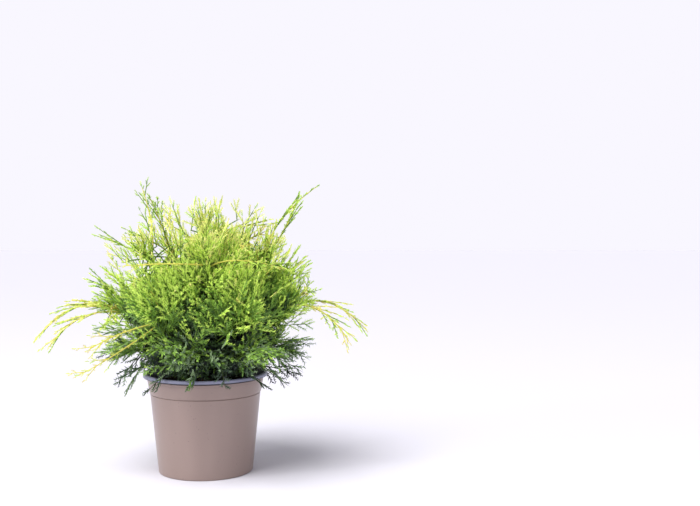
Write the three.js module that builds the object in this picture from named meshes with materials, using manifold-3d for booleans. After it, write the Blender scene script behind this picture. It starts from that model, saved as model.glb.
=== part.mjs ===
// A potted Pfitzer juniper: a low, spreading conifer with arching boughs and drooping golden
// shoots, in a round two-litre nursery pot. The pot stands on z = 0 with its axis on the z axis,
// z is up, and the side of the plant that the picture shows faces -y. Sizes are millimetres and
// angles are degrees. Boughs leave a short trunk like spokes, and each carries one mass of
// foliage that keeps to its own wedge of space, seen from the heart of the crown.
import * as THREE from "three";
import { mergeVertices } from "three/addons/utils/BufferGeometryUtils.js";
import Module from "manifold-3d";

const wasm = await Module();
wasm.setup();

// Pot
const POT_HEIGHT = 136;
const POT_SIDES = 28;
const WALL = 1.6;
const FLOOR = 2.4;
const BASE_RADIUS = 64.5;
const BASE_BEVEL = 2;
const STEP_RADIUS = 75.3; // the body at the line that runs round under the collar
const STEP_HEIGHT = 109.5;
const STEP_OUT = 0.9;
const STEP_RISE = 0.6;
const COLLAR_RADIUS = 79.8; // the collar where it meets the lip
const LIP_RADIUS = 85;
const LIP_HEIGHT = 5;
const LIP_ROUND = 1.4;
const LIP_EDGES = { under: 0.6, inner: 0.4 };
const DRAIN_COUNT = 8;
const DRAIN_RADIUS = 4.5;
const DRAIN_CIRCLE = 50;
const DRAIN_SIDES = 6;

// Soil and trunk
const GAP = 0.3; // between pieces that touch
const SOIL_LEVEL = 124;
const SOIL_DISH = 2.5; // how far the soil sinks towards the wall
const SOIL_FLAT_RADIUS = 20;
const TRUNK_HEIGHT = 46;
const TRUNK_LEAN = 4; // how far its tip stands off the axis
const TRUNK_SIDES = 9;
const TRUNK_RINGS = 8;
const TRUNK_RADII = { foot: 7.2, tip: 5, flare: 3.8 };
const FLARE_SHARE = 0.16; // of the trunk's height

// Crown: foliage is dense inside one ball, and the tips of its sprays reach another. Only the
// long shoots pass the shell.
const HEART = new THREE.Vector3(0, 0, 170);
const DENSE = { height: 232, radius: 123 };
const TIPS = { height: 226, radius: 166 };
const SHELL = { height: 226, radius: 174 };
const BOUGH_SHARE = 0.52; // of the way from the heart to the edge of the dense foliage
const BOUGH_RADII = { foot: 2.4, tip: 1.6 };
const BOUGH_SIDES = 5;
const BOUGH_RINGS = 4;
const LEAST_RISE = 20; // at which the lowest boughs leave the trunk
const TIERS = [
  { name: "skirt", count: 7, rise: -1, firstAzimuth: 4, fork: 0.3, fill: 0.9, lift: -0.35 },
  { name: "flank", count: 6, rise: 26, firstAzimuth: 5, fork: 0.55, fill: 1, lift: 0.1 },
  { name: "shoulder", count: 5, rise: 55, firstAzimuth: 62, fork: 0.78, fill: 1, lift: 0.3 },
  { name: "crest", count: 1, rise: 90, firstAzimuth: 0, fork: 1, fill: 1, lift: 0.3 },
];

// Foliage masses
const STEM_SHARE = 0.94; // of the way from the heart to the edge of the dense foliage
const STEM_RADII = { foot: 1.6, tip: 0.8 };
const CORE = { across: 0.95, rough: 0.4, inset: 1.5, offBough: 5, offPot: 3 };
const TWIG_COUNT = 8;
const TWIG_SPREAD = 31;
const TWIG_MARGIN = 5; // between the tip of a twig and the walls of its wedge
const TWIG_RADII = { foot: 1.1, tip: 0.7 };
const GOLDEN_ANGLE = 137.5;
const SPRAY_WIDTH = 11;
const SPRAY_CORE = 1.5; // half the width of the slim core
const SPRAY_THICKNESS = 0.8; // half of it
const LONG_SPRAY = 50; // one at least this long has a third pair of teeth
const SPRAY_STRAY = 0.42; // how far sprays differ in direction
const SPACE_MARGIN = 0.4;
const POT_CLEARANCE = 1.5;
const FINEST = 0.05; // detail of a mass below this size is simplified away
const LOWEST = 104; // foliage that hangs over the rim

// Long shoots. Each leaves the stem of the mass that lies in its direction and comes out over
// the crown, where the low ones hang and the high ones stand out. "over" steers its middle and
// "tip" is its end: an azimuth, a rise and a distance from the heart.
const SHOOT_RADII = { foot: 1.2, tip: 0.6 };
const SHOOT_RINGS = 5;
const SHOOT_SPRAYS = 3;
const SHOOT_SPRAY_TURN = 34;
const SHOOT_SPRAY_LENGTH = 26;
const SHOOTS = [
  { over: [186, 28, 190], tip: [188, 4, 226] },
  { over: [199, 22, 180], tip: [200, 3, 206] },
  { over: [216, 13, 142], tip: [219, 3, 174] },
  { over: [211, 9, 140], tip: [213, -8, 184] },
  { over: [250, 36, 172], tip: [241, 35, 180] },
  { over: [307, 7, 150], tip: [303, 3, 192] },
  { over: [345, 26, 182], tip: [340, 4, 212] },
  { over: [10, 27, 188], tip: [6, 6, 222] },
  { over: [70, 25, 180], tip: [70, 5, 212] },
  { over: [134, 24, 180], tip: [145, 4, 210] },
  { over: [171, 50, 186], tip: [172, 46, 212] },
  { over: [150, 66, 196], tip: [165, 68, 226] },
  { over: [194, 36, 150], tip: [194, 31, 178] },
  { over: [197, 27, 140], tip: [189, 19, 188] },
  { over: [159, 64, 165], tip: [163, 52, 198] },
  { over: [3, 63, 200], tip: [3, 55, 272] },
  { over: [16, 54, 210], tip: [16, 58, 250] },
];

const COLOURS = {
  pot: { color: "#a38e89", roughness: 0.45, metalness: 0 },
  soil: { color: "#2b211b", roughness: 1, metalness: 0 },
  bark: { color: "#6b4636", roughness: 0.9, metalness: 0 },
  foliage: { color: "#86a33c", roughness: 0.6, metalness: 0 },
};

const radians = THREE.MathUtils.degToRad;
const UP = new THREE.Vector3(0, 0, 1);
const along = (azimuth, rise) =>
  new THREE.Vector3(
    Math.cos(radians(rise)) * Math.cos(radians(azimuth)),
    Math.cos(radians(rise)) * Math.sin(radians(azimuth)),
    Math.sin(radians(rise)),
  );
const fromHeart = (direction, distance) => HEART.clone().addScaledVector(direction, distance);
const { lerp } = THREE.MathUtils;
const tapering = (radii, grown = 0) => (share) => lerp(radii.foot, radii.tip, share) + grown;

// The same seed always gives the same run of numbers from 0 to 1.
function randomFrom(seed) {
  let state = (seed * 2654435761) >>> 0;
  return () => {
    state = (Math.imul(state, 1664525) + 1013904223) >>> 0;
    return state / 2 ** 32;
  };
}

function closedGeometry(points, faces) {
  return new THREE.BufferGeometry()
    .setAttribute("position", new THREE.Float32BufferAttribute(points.flatMap((p) => p.toArray()), 3))
    .setIndex(faces.flat());
}

function solidOf(geometry) {
  geometry.deleteAttribute("normal");
  geometry.deleteAttribute("uv");
  const merged = mergeVertices(geometry, 1e-3);
  return new wasm.Manifold(
    new wasm.Mesh({
      numProp: 3,
      vertProperties: merged.attributes.position.array,
      triVerts: new Uint32Array(merged.index.array),
    }),
  );
}

// The largest body of a solid, with loose scraps dropped and sealed hollows filled.
function wholeBody(solid) {
  return solid.decompose().reduce((a, b) => (b.volume() > a.volume() ? b : a));
}

function geometryOf(solid) {
  const mesh = solid.getMesh();
  return new THREE.BufferGeometry()
    .setAttribute("position", new THREE.BufferAttribute(mesh.vertProperties, 3))
    .setIndex(new THREE.BufferAttribute(mesh.triVerts, 1));
}

// A closed tube of flat-sided rings along a curve.
function taperedTube(curve, rings, sides, radiusAt) {
  const frames = curve.computeFrenetFrames(rings, false);
  const points = [curve.getPointAt(0)];
  const faces = [];
  for (let i = 0; i <= rings; i++) {
    const centre = curve.getPointAt(i / rings);
    for (let j = 0; j < sides; j++) {
      const turn = (2 * Math.PI * j) / sides;
      const spoke = frames.normals[i].clone().multiplyScalar(Math.cos(turn));
      spoke.addScaledVector(frames.binormals[i], Math.sin(turn));
      points.push(centre.clone().addScaledVector(spoke, radiusAt(i / rings)));
    }
  }
  points.push(curve.getPointAt(1));
  const at = (ring, side) => 1 + ring * sides + (side % sides);
  for (let j = 0; j < sides; j++) {
    faces.push([0, at(0, j + 1), at(0, j)]);
    for (let i = 0; i < rings; i++) {
      faces.push([at(i, j), at(i, j + 1), at(i + 1, j + 1)]);
      faces.push([at(i, j), at(i + 1, j + 1), at(i + 1, j)]);
    }
    faces.push([points.length - 1, at(rings, j), at(rings, j + 1)]);
  }
  return closedGeometry(points, faces);
}

// One spray of needles: a slim core of diamond section with a pair of teeth on each stretch.
function toothedSpray(root, direction, across, length, stretches) {
  const forward = direction.clone().normalize();
  const side = across.clone().addScaledVector(forward, -across.dot(forward)).normalize();
  const flat = forward.clone().cross(side);
  const centreAt = (share) => root.clone().addScaledVector(forward, share * length);
  const points = [];
  const faces = [];
  for (let i = 0; i < stretches; i++) {
    const share = i / stretches;
    const slim = 1 - 0.5 * share;
    const spokes = [side, flat, side.clone().negate(), flat.clone().negate()];
    spokes.forEach((spoke, j) => {
      const half = (j % 2 ? SPRAY_THICKNESS : SPRAY_CORE) * slim;
      points.push(centreAt(share).addScaledVector(spoke, half));
    });
  }
  const tip = points.push(centreAt(1)) - 1;
  const teeth = [];
  for (let i = 0; i < stretches; i++) {
    [1, -1].forEach((way, k) => {
      const share = (i + 0.75 + 0.15 * k) / stretches;
      const reach = SPRAY_WIDTH * (1 - 0.55 * share) * way;
      teeth.push(points.push(centreAt(share).addScaledVector(side, reach)) - 1);
    });
  }
  faces.push([0, 2, 1], [0, 3, 2]);
  for (let i = 0; i < stretches; i++) {
    const last = i === stretches - 1;
    const ring = (j) => 4 * i + (j % 4);
    const next = (j) => (last ? tip : 4 * (i + 1) + (j % 4));
    for (const edge of [0, 2]) {
      const tooth = teeth[2 * i + edge / 2];
      const before = (edge + 3) % 4;
      faces.push([ring(before), ring(edge), tooth], [ring(before), tooth, next(edge)]);
      faces.push([ring(edge + 1), next(edge), tooth], [ring(edge + 1), tooth, ring(edge)]);
      if (!last) {
        faces.push([ring(before), next(edge), next(before)]);
        faces.push([ring(edge + 1), next(edge + 1), next(edge)]);
      }
    }
  }
  return closedGeometry(points, faces);
}

// The profile goes up the outside, over the lip and down the inside.
function potGeometry() {
  const underLip = POT_HEIGHT - LIP_HEIGHT;
  const inside = (radius) => radius - WALL;
  const profile = [
    [0, 0],
    [BASE_RADIUS - BASE_BEVEL, 0],
    [BASE_RADIUS, BASE_BEVEL],
    [STEP_RADIUS, STEP_HEIGHT - STEP_RISE],
    [STEP_RADIUS + STEP_OUT, STEP_HEIGHT],
    [COLLAR_RADIUS, underLip],
    [LIP_RADIUS - LIP_EDGES.under, underLip],
    [LIP_RADIUS, underLip + LIP_ROUND],
    [LIP_RADIUS, POT_HEIGHT - LIP_ROUND],
    [LIP_RADIUS - LIP_ROUND, POT_HEIGHT],
    [COLLAR_RADIUS + LIP_EDGES.inner, POT_HEIGHT],
    [inside(COLLAR_RADIUS), underLip],
    [inside(STEP_RADIUS), STEP_HEIGHT],
    [inside(BASE_RADIUS), FLOOR],
    [0, FLOOR],
  ];
  const shell = new THREE.LatheGeometry(profile.map(([r, z]) => new THREE.Vector2(r, z)), POT_SIDES);
  const cutter = new THREE.CylinderGeometry(DRAIN_RADIUS, DRAIN_RADIUS, 3 * FLOOR, DRAIN_SIDES);
  const drains = Array.from({ length: DRAIN_COUNT }, (_, i) => {
    const place = along((360 * i) / DRAIN_COUNT, 0).multiplyScalar(DRAIN_CIRCLE);
    return solidOf(cutter.clone().rotateX(Math.PI / 2).translate(place.x, place.y, 0));
  });
  return geometryOf(solidOf(shell.rotateX(Math.PI / 2)).subtract(wasm.Manifold.union(drains)));
}

function soilGeometry() {
  const inner = (z) => {
    const share = (z - FLOOR) / (STEP_HEIGHT - FLOOR);
    return BASE_RADIUS + share * (STEP_RADIUS - BASE_RADIUS) - WALL - GAP;
  };
  const collar = (z) => {
    const share = (z - STEP_HEIGHT) / (POT_HEIGHT - LIP_HEIGHT - STEP_HEIGHT);
    return STEP_RADIUS + share * (COLLAR_RADIUS - STEP_RADIUS) - WALL - GAP;
  };
  const edge = SOIL_LEVEL - SOIL_DISH;
  const profile = [
    [0, FLOOR + GAP],
    [inner(FLOOR), FLOOR + GAP],
    [collar(STEP_HEIGHT), STEP_HEIGHT],
    [collar(edge), edge],
    [SOIL_FLAT_RADIUS, SOIL_LEVEL],
    [0, SOIL_LEVEL],
  ];
  const points = profile.map(([r, z]) => new THREE.Vector2(r, z));
  return new THREE.LatheGeometry(points, POT_SIDES).rotateX(Math.PI / 2);
}

const trunkFoot = new THREE.Vector3(0, 0, SOIL_LEVEL + GAP);
const trunkCurve = new THREE.QuadraticBezierCurve3(
  trunkFoot,
  trunkFoot.clone().addScaledVector(UP, TRUNK_HEIGHT / 2),
  trunkFoot.clone().add(new THREE.Vector3(TRUNK_LEAN, 0, TRUNK_HEIGHT)),
);

function trunkGeometry(grown) {
  const taper = tapering(TRUNK_RADII, grown);
  const flare = (share) => Math.max(0, 1 - share / FLARE_SHARE) ** 2 * TRUNK_RADII.flare;
  return taperedTube(trunkCurve, TRUNK_RINGS, TRUNK_SIDES, (share) => taper(share) + flare(share));
}

// How far it is from the heart to the surface of a ball, along a direction.
function distanceTo(ball, direction) {
  const offset = ball.height - HEART.z;
  const forward = offset * direction.z;
  return forward + Math.sqrt(forward ** 2 - offset ** 2 + ball.radius ** 2);
}

// Every mass has a direction from the heart, and so has the bough that carries it.
function crownMasses() {
  const masses = [];
  for (const tier of TIERS) {
    for (let i = 0; i < tier.count; i++) {
      const number = masses.length + 1;
      const random = randomFrom(number);
      const azimuth = tier.firstAzimuth + (360 * i) / tier.count + 10 * (random() - 0.5);
      const rise = tier.rise + (tier.count > 1 ? 7 * (random() - 0.5) : 0);
      const direction = along(azimuth, rise);
      masses.push({
        number,
        name: tier.count > 1 ? `${tier.name}_${i + 1}` : tier.name,
        tier,
        azimuth,
        direction,
        fork: tier.count > 1 ? tier.fork + (i % 2 ? 0.05 : -0.05) : 1,
        boughReach: BOUGH_SHARE * distanceTo(DENSE, direction),
      });
    }
  }
  return masses;
}

const masses = crownMasses();

// A bough leaves the trunk at its fork, arches out and ends where it enters its mass.
function boughCurve(mass) {
  const tip = fromHeart(mass.direction, mass.boughReach);
  const foot = trunkCurve.getPointAt(mass.fork);
  const out = mass.fork === 1 ? UP : along(mass.azimuth, lerp(LEAST_RISE, mass.tier.rise, 0.45));
  const outward = foot.clone().addScaledVector(out, 0.4 * mass.boughReach);
  const inward = tip.clone().addScaledVector(mass.direction, -0.3 * mass.boughReach);
  return new THREE.CubicBezierCurve3(foot, outward, inward, tip);
}

function boughSolid(mass, grown) {
  return solidOf(taperedTube(boughCurve(mass), BOUGH_RINGS, BOUGH_SIDES, tapering(BOUGH_RADII, grown)));
}

const grownTrunk = solidOf(trunkGeometry(GAP));
const boughs = masses.map((mass) => wholeBody(boughSolid(mass, 0).subtract(grownTrunk)));

// What foliage stays clear of: the trunk, every bough, and the pot as one block.
const blockHeight = POT_HEIGHT + POT_CLEARANCE;
const blockRadii = [LIP_RADIUS + POT_CLEARANCE, BASE_RADIUS + POT_CLEARANCE];
const potBlock = new THREE.CylinderGeometry(...blockRadii, blockHeight, POT_SIDES)
  .rotateX(Math.PI / 2)
  .translate(0, 0, blockHeight / 2);
const obstacles = wasm.Manifold.union([
  grownTrunk,
  ...masses.map((mass) => boughSolid(mass, 2 * GAP)),
  solidOf(potBlock),
]);

const walls = masses.map((mass) =>
  masses
    .filter((other) => other !== mass)
    .map((other) => mass.direction.clone().sub(other.direction).normalize()),
);
const isInside = (ball, point) =>
  Math.hypot(point.x, point.y, point.z - ball.height) < ball.radius;

// True if a point is in the wedge of space round the direction of a mass. Outside the shell
// there are no wedges, and only the long shoots go there.
function inOwnSpace(point, mass, margin = SPACE_MARGIN) {
  const offset = point.clone().sub(HEART);
  return walls[mass.number - 1].every((wall) => wall.dot(offset) > margin);
}

function mayGrow(point, mass, isShoot) {
  if (point.z < LOWEST) return false;
  if (isShoot && !isInside(SHELL, point)) return true;
  return (isShoot || isInside(TIPS, point)) && inOwnSpace(point, mass);
}

function fitted(geometry, mass, isShoot = false) {
  const position = geometry.attributes.position;
  const point = new THREE.Vector3();
  for (let i = 0; i < position.count; i++) {
    if (!mayGrow(point.fromBufferAttribute(position, i), mass, isShoot)) return null;
  }
  const solid = solidOf(geometry);
  return solid.intersect(obstacles).isEmpty() ? solid : null;
}

function stemCurve(mass) {
  const foot = fromHeart(mass.direction, mass.boughReach + GAP);
  const tip = fromHeart(mass.direction, STEM_SHARE * distanceTo(DENSE, mass.direction));
  const near = foot.clone().lerp(tip, 0.3);
  const far = foot.clone().lerp(tip, 0.7).addScaledVector(UP, 2);
  return new THREE.CubicBezierCurve3(foot, near, far, tip);
}

// A rough clump inside the mass, pulled in wherever it would leave the wedge.
function coreGeometry(mass, random) {
  const sphere = new THREE.IcosahedronGeometry(1, 1);
  sphere.deleteAttribute("normal");
  sphere.deleteAttribute("uv");
  const ball = mergeVertices(sphere, 1e-3);
  const turned = new THREE.Quaternion().setFromUnitVectors(UP, mass.direction);
  const near = mass.boughReach + CORE.offBough;
  const far = mass.tier.fill * distanceTo(DENSE, mass.direction);
  const centre = fromHeart(mass.direction, (near + far) / 2);
  const halfWidth = CORE.across * (near + far) * 0.5;
  const size = new THREE.Vector3(halfWidth, halfWidth, (far - near) / 2);
  const position = ball.attributes.position;
  const lowest = POT_HEIGHT + CORE.offPot;
  for (let i = 0; i < position.count; i++) {
    const spoke = new THREE.Vector3().fromBufferAttribute(position, i).multiply(size);
    spoke.multiplyScalar(1 - CORE.rough * random()).applyQuaternion(turned);
    const place = () => centre.clone().add(spoke);
    while (place().z < lowest || !inOwnSpace(place(), mass, CORE.inset)) spoke.multiplyScalar(0.95);
    position.setXYZ(i, ...place().toArray());
  }
  return ball;
}

// Twigs spiral up the stem, and each bends out to a place of its own on the edge of the dense
// foliage. One that would leave the wedge is turned in towards the stem until it fits.
function twigCurves(mass, random) {
  const stem = stemCurve(mass);
  const across = mass.direction.clone().cross(new THREE.Vector3(0.3, 0.2, 1)).normalize();
  const firstTurn = 360 * random();
  const twigs = [];
  for (let i = 0; i < TWIG_COUNT; i++) {
    const share = 1 - (i + 0.5) / TWIG_COUNT;
    const foot = stem.getPoint(0.1 + 0.85 * share);
    const turn = radians(firstTurn + GOLDEN_ANGLE * i);
    const aim = across.clone().applyAxisAngle(mass.direction, turn);
    const axis = mass.direction.clone().cross(aim).normalize();
    const depth = 0.86 + 0.16 * random();
    let spread = TWIG_SPREAD * Math.sqrt(1 - share);
    for (let tries = 0; tries < 12; tries++) {
      const toTip = mass.direction.clone().applyAxisAngle(axis, radians(spread));
      const tip = fromHeart(toTip, depth * mass.tier.fill * distanceTo(DENSE, toTip));
      if (inOwnSpace(tip, mass, TWIG_MARGIN)) {
        const middle = foot.clone().lerp(tip, 0.5);
        middle.addScaledVector(mass.direction, 0.1 * foot.distanceTo(tip));
        twigs.push(new THREE.QuadraticBezierCurve3(foot, middle, tip));
        break;
      }
      spread *= 0.9;
    }
  }
  return twigs;
}

// The spray that carries a twig on, from the edge of the dense foliage to the reach of tips.
function tipSpray(twig, mass, random) {
  const root = twig.getPoint(0.9);
  const outward = root.clone().sub(HEART).normalize();
  const stray = new THREE.Vector3(random() - 0.5, random() - 0.5, random() - 0.5);
  const side = new THREE.Vector3(random() - 0.5, random() - 0.5, random() - 0.5);
  const length = (0.65 + 0.4 * random()) * (distanceTo(TIPS, outward) - root.distanceTo(HEART));
  const stretches = length > LONG_SPRAY ? 3 : 2;
  for (const share of [1, 0.85, 0.7, 0.55, 0.4]) {
    const direction = outward.clone().addScaledVector(UP, mass.tier.lift * share);
    direction.addScaledVector(stray, 2 * SPRAY_STRAY * share);
    const reach = length * Math.sqrt(share);
    const spray = fitted(toothedSpray(root, direction, side, reach, stretches), mass);
    if (spray) return spray;
  }
  return null;
}

function massSolid(mass) {
  const random = randomFrom(100 + mass.number);
  const pieces = [
    solidOf(coreGeometry(mass, random)),
    solidOf(taperedTube(stemCurve(mass), 3, 4, tapering(STEM_RADII))),
  ];
  for (const curve of twigCurves(mass, random)) {
    const twig = fitted(taperedTube(curve, 1, 3, tapering(TWIG_RADII)), mass);
    const spray = tipSpray(curve, mass, random);
    if (twig && spray) pieces.push(twig, spray);
  }
  shootsOf(mass).forEach((shoot) => pieces.push(...shootSolids(shoot, mass)));
  return wholeBody(wasm.Manifold.union(pieces).simplify(FINEST));
}

const wayPoint = ([azimuth, rise, distance]) => fromHeart(along(azimuth, rise), distance);

function shootsOf(mass) {
  return SHOOTS.filter((shoot) => inOwnSpace(wayPoint(shoot.over), mass, 0));
}

function shootSolids(shoot, mass) {
  const foot = stemCurve(mass).getPoint(0.7);
  const curve = new THREE.QuadraticBezierCurve3(foot, wayPoint(shoot.over), wayPoint(shoot.tip));
  const pieces = [fitted(taperedTube(curve, SHOOT_RINGS, 3, tapering(SHOOT_RADII)), mass, true)];
  const random = randomFrom(300 + shoot.over[0]);
  for (let i = 0; i < SHOOT_SPRAYS; i++) {
    const share = lerp(0.5, 0.98, i / (SHOOT_SPRAYS - 1));
    const tangent = curve.getTangent(share);
    const side = tangent.clone().cross(UP).normalize();
    const turn = i === SHOOT_SPRAYS - 1 ? 0 : (i % 2 ? 1 : -1) * radians(SHOOT_SPRAY_TURN);
    const direction = tangent.clone().applyAxisAngle(side.clone().cross(tangent), turn);
    const length = SHOOT_SPRAY_LENGTH * (0.8 + 0.4 * random());
    pieces.push(fitted(toothedSpray(curve.getPoint(share), direction, side, length, 2), mass, true));
  }
  return pieces.filter(Boolean);
}

const materials = Object.fromEntries(
  Object.entries(COLOURS).map(([name, look]) => [name, new THREE.MeshStandardMaterial(look)]),
);

function part(name, geometry, material) {
  const mesh = new THREE.Mesh(geometry, material);
  mesh.name = name;
  return mesh;
}

const juniper = new THREE.Group();
juniper.add(part("pot", potGeometry(), materials.pot));
juniper.add(part("soil", soilGeometry(), materials.soil));
juniper.add(part("trunk", trunkGeometry(0), materials.bark));
masses.forEach((mass, i) => {
  juniper.add(part(`bough_${mass.name}`, geometryOf(boughs[i]), materials.bark));
  juniper.add(part(`foliage_${mass.name}`, geometryOf(massSolid(mass)), materials.foliage));
});

export default juniper;
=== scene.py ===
"""Looks for the potted Pfitzer juniper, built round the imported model.

The crown's rule is the one that the model grows by: boughs from a short trunk, a stem and twigs
in each mass, and sprays at their ends. Here it goes on to finer twigs and full sprays. Sizes are
in millimetres until a mesh is made, angles are in degrees, and -Y is the side towards the camera.
"""

from math import cos, pi, radians, sin, sqrt

import bpy
import numpy as np
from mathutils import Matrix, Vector


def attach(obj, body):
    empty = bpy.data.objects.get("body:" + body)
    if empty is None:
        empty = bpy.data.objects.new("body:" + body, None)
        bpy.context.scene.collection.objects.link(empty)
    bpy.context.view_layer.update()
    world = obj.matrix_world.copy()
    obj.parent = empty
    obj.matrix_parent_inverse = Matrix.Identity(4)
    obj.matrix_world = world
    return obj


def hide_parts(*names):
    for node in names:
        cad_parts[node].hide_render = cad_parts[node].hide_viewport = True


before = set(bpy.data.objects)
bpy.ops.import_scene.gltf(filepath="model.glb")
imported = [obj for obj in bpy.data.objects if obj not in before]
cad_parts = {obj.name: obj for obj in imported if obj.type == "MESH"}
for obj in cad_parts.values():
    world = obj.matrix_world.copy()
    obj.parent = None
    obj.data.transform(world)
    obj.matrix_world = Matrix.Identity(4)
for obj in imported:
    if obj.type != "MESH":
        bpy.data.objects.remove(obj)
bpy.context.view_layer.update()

MM = 0.001

# Pot and soil, as in the model
POT_HEIGHT = 136.0
WALL = 1.6
FLOOR = 2.4
BASE_RADIUS = 64.5
STEP_RADIUS = 75.3
STEP_HEIGHT = 109.5
STEP_OUT = 0.9
COLLAR_RADIUS = 79.8
LIP_RADIUS = 85.0
LIP_HEIGHT = 5.0
DRAIN_COUNT = 8
DRAIN_RADIUS = 4.5
DRAIN_CIRCLE = 50.0
GAP = 0.3
SOIL_LEVEL = 124.0

# Trunk and crown, as in the model
TRUNK_HEIGHT = 46.0
TRUNK_LEAN = 4.0
TRUNK_RADII = (7.2, 5.0)
TRUNK_FLARE = 3.8
FLARE_SHARE = 0.16
HEART = np.array([0.0, 0.0, 170.0])
DENSE = (232.0, 123.0)  # height of the middle of the ball, and its radius
TIPS = (226.0, 166.0)
SHELL = (226.0, 174.0)
BOUGH_SHARE = 0.52
BOUGH_RADII = (2.4, 1.6)
LEAST_RISE = 20.0
# Name, count, rise, first azimuth, fork on the trunk, fill of its space, and lift of its sprays
TIERS = [
    ("skirt", 7, -1, 4, 0.3, 0.9, -0.35),
    ("flank", 6, 26, 5, 0.55, 1.0, 0.1),
    ("shoulder", 5, 55, 62, 0.78, 1.0, 0.3),
    ("crest", 1, 90, 0, 1.0, 1.0, 0.3),
]
AZIMUTH_STRAY = 10
RISE_STRAY = 7
FORK_STEP = 0.05
STEM_SHARE = 0.94
STEM_RADII = (1.6, 0.8)
CORE_POINTS = 42
TWIG_COUNT = 8
TWIG_SPREAD = 31.0
TWIG_MARGIN = 5.0
TWIG_RADII = (1.1, 0.7)
TWIG_TRIES = 12
GOLDEN_ANGLE = 137.5
SPRAY_FOOT = 0.9
SPRAY_STRAY = 0.42
SPRAY_SHARES = (1, 0.85, 0.7, 0.55, 0.4)
SPRAY_MARGIN = 2
LOWEST = 104.0
SHOOT_RADII = (1.2, 0.6)
# Azimuth, rise and distance from the heart of the point that a shoot arches over, and of its tip
SHOOTS = [
    ((186, 28, 190), (188, 4, 226)),
    ((199, 22, 180), (200, 3, 206)),
    ((216, 13, 142), (219, 3, 174)),
    ((211, 9, 140), (213, -8, 184)),
    ((250, 36, 172), (241, 35, 180)),
    ((307, 7, 150), (303, 3, 192)),
    ((345, 26, 182), (340, 4, 212)),
    ((10, 27, 188), (6, 6, 222)),
    ((70, 25, 180), (70, 5, 212)),
    ((134, 24, 180), (145, 4, 210)),
    ((171, 50, 186), (172, 46, 212)),
    ((150, 66, 196), (165, 68, 226)),
    ((194, 36, 150), (194, 31, 178)),
    ((197, 27, 140), (189, 19, 188)),
    ((159, 64, 165), (163, 52, 198)),
    ((3, 63, 200), (3, 55, 272)),
    ((16, 54, 210), (16, 58, 250)),
]

UP = np.array([0.0, 0.0, 1.0])
SKEW = np.array([0.3, 0.2, 1.0])  # not the direction of any mass
TINY = 1e-9


def by_tier(skirt, flank, shoulder, crest):
    return {"skirt": skirt, "flank": flank, "shoulder": shoulder, "crest": crest}


# Small maths


def unit(v):
    return v / np.linalg.norm(v, axis=-1, keepdims=True)


def lerp(a, b, share):
    return a + (b - a) * share


def circle(sides):
    """Angles in radians of the points of a ring."""
    return 2 * np.pi * np.arange(sides) / sides


def along(azimuth, rise):
    a, r = radians(azimuth), radians(rise)
    return np.array([cos(r) * cos(a), cos(r) * sin(a), sin(r)])


def from_heart(azimuth, rise, far):
    return HEART + along(azimuth, rise) * far


def turned(v, axis, degrees):
    a = radians(degrees)
    return v * cos(a) + np.cross(axis, v) * sin(a) + axis * np.dot(axis, v) * (1 - cos(a))


def aside(direction, degrees):
    """A direction square to another one, turned about it."""
    return turned(unit(np.cross(direction, SKEW)), direction, degrees)


def bezier(points, t):
    """Points of a quadratic or cubic curve at every t."""
    t = np.asarray(t, float)[..., None]
    if len(points) == 3:
        a, b, c = points
        return (1 - t) ** 2 * a + 2 * t * (1 - t) * b + t**2 * c
    a, b, c, d = points
    return (1 - t) ** 3 * a + 3 * t * (1 - t) ** 2 * b + 3 * t**2 * (1 - t) * c + t**3 * d


def random_from(seed):
    """The model's run of numbers from 0 to 1 for a seed."""
    state = (seed * 2654435761) % 2**32

    def following():
        nonlocal state
        state = (state * 1664525 + 1013904223) % 2**32
        return state / 2**32

    return following


def distance_to(ball, direction):
    """How far it is from the heart to the surface of a ball, along one direction or many."""
    offset = ball[0] - HEART[2]
    forward = offset * direction.T[2]
    return forward + np.sqrt(forward**2 - offset**2 + ball[1] ** 2)


# Where foliage may grow

LIP_CLEAR = 2.5
RIM_CLEAR = 2.0
MOUTH_RADIUS = 74.0
MOUTH_LEVEL = 128.5
EDGE_RADIUS = 78.0
EDGE_SLOPE = 0.32


def from_axis(points):
    return np.hypot(points[..., 0], points[..., 1])


def in_mouth(points):
    return (from_axis(points) < MOUTH_RADIUS) & (points[..., 2] > MOUTH_LEVEL)


def in_reach(points, ball=TIPS, mouth=True):
    """Within the reach of the crown and clear of the pot, though its mouth may be grown into."""
    clear = (from_axis(points) > LIP_RADIUS + LIP_CLEAR) | (points[..., 2] > POT_HEIGHT + RIM_CLEAR)
    if mouth:
        clear = clear | in_mouth(points)
    depth = np.linalg.norm(points - np.array([0, 0, ball[0]]), axis=-1) / ball[1]
    return (depth < 1) & (points[..., 2] > LOWEST) & clear


def in_crown_below(points):
    """Above the slope that the lower edge of the foliage follows from the rim outwards."""
    slope = EDGE_SLOPE * np.maximum(0, from_axis(points) - EDGE_RADIUS)
    return in_mouth(points) | (points[..., 2] > POT_HEIGHT + RIM_CLEAR + slope)


def in_own_space(points, mass, margin):
    return (mass["walls"] @ (points - HEART).T > margin).all(axis=0)


# Limbs, by the model's rule


def trunk_points(t):
    foot = np.array([0.0, 0.0, SOIL_LEVEL + GAP])
    return bezier([foot, foot + UP * TRUNK_HEIGHT / 2, foot + [TRUNK_LEAN, 0, TRUNK_HEIGHT]], t)


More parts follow.
